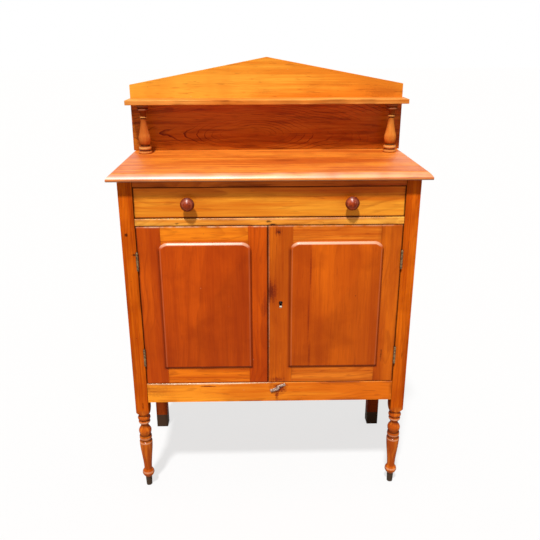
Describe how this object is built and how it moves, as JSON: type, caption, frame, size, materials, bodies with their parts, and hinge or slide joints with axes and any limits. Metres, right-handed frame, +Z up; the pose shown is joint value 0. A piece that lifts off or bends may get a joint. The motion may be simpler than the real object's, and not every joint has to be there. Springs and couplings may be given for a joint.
{
  "type": "meat safe",
  "caption": "Free-standing pine food cupboard on turned front legs, with a wide drawer, raised-panel doors, ventilated sides and a gabled back with a small gallery shelf on turned columns.",
  "frame": {"origin": "on the floor, under the middle of the footprint box", "axes": "+Z up; +X to the right as seen from the front; +Y towards the back, so the doors and the drawer face -Y"},
  "size_m": [0.99, 0.4652, 1.482],
  "materials": {
    "rail_pine": "honey-coloured shellacked pine, glossy",
    "stile_pine": "redder shellacked pine, glossy",
    "slab_pine": "polished shellacked pine",
    "knob_wood": "dark red-brown polished hardwood",
    "raw_pine": "bare aged pine, matt",
    "iron": "aged iron",
    "brass": "aged brass",
    "gauze": "dull galvanised wire"
  },
  "bodies": {
    "case": {"front_post_left": "rail_pine", "front_post_right": "rail_pine", "back_post_left": "rail_pine", "back_post_right": "rail_pine", "top_rail": "rail_pine", "middle_rail": "rail_pine", "bottom_rail": "rail_pine", "back_board_lower": "raw_pine", "back_board_middle": "raw_pine", "back_board_upper": "raw_pine", "side_top_board_left": "rail_pine", "side_top_board_right": "rail_pine", "side_bottom_rail_left": "rail_pine", "side_bottom_rail_right": "rail_pine", "gauze_left": "gauze", "gauze_right": "gauze", "cupboard_floor": "raw_pine", "cupboard_shelf": "raw_pine", "shelf_bearer_left": "raw_pine", "shelf_bearer_right": "raw_pine", "drawer_runner_left": "raw_pine", "drawer_runner_right": "raw_pine", "top_slab": "slab_pine", "gallery_backboard": "rail_pine", "gallery_shelf": "rail_pine", "gallery_column_left": "stile_pine", "gallery_column_right": "stile_pine", "hinge_left_upper_case_leaf": "brass", "hinge_left_upper_pin": "brass", "hinge_left_lower_case_leaf": "brass", "hinge_left_lower_pin": "brass", "hinge_right_upper_case_leaf": "brass", "hinge_right_upper_pin": "brass", "hinge_right_lower_case_leaf": "brass", "hinge_right_lower_pin": "brass", "turn_button_screw": "iron"},
    "drawer": {"drawer_front": "rail_pine", "drawer_side_left": "raw_pine", "drawer_side_right": "raw_pine", "drawer_back": "raw_pine", "drawer_bottom": "raw_pine", "drawer_knob_left": "knob_wood", "drawer_knob_right": "knob_wood"},
    "left_door": {"left_door_hinge_stile": "stile_pine", "left_door_meeting_stile": "stile_pine", "left_door_top_rail": "rail_pine", "left_door_bottom_rail": "rail_pine", "left_door_panel": "stile_pine", "hinge_left_upper_door_leaf": "brass", "hinge_left_lower_door_leaf": "brass"},
    "right_door": {"right_door_hinge_stile": "stile_pine", "right_door_meeting_stile": "stile_pine", "right_door_top_rail": "rail_pine", "right_door_bottom_rail": "rail_pine", "right_door_panel": "stile_pine", "hinge_right_upper_door_leaf": "brass", "hinge_right_lower_door_leaf": "brass", "lock_case": "iron"},
    "lock_bolt": {"lock_bolt": "brass"},
    "turn_button": {"turn_button": "iron"}
  },
  "joints": [
    {"name": "drawer_slide", "type": "slide", "parent": "case", "child": "drawer", "axis": [0, -1, 0], "range_m": [0, 0.3]},
    {"name": "left_door_hinge", "type": "hinge", "parent": "case", "child": "left_door", "pos_m": [-0.421, -0.20175, 0.71], "axis": [0, 0, -1], "range_deg": [0, 165]},
    {"name": "right_door_hinge", "type": "hinge", "parent": "case", "child": "right_door", "pos_m": [0.421, -0.20175, 0.71], "axis": [0, 0, 1], "range_deg": [0, 165]},
    {"name": "lock_bolt_slide", "type": "slide", "parent": "right_door", "child": "lock_bolt", "axis": [-1, 0, 0], "range_m": [0, 0.008]},
    {"name": "turn_button_pivot", "type": "hinge", "parent": "case", "child": "turn_button", "pos_m": [0.028, -0.199, 0.4114], "axis": [0, -1, 0], "range_deg": [-33, 57]}
  ]
}
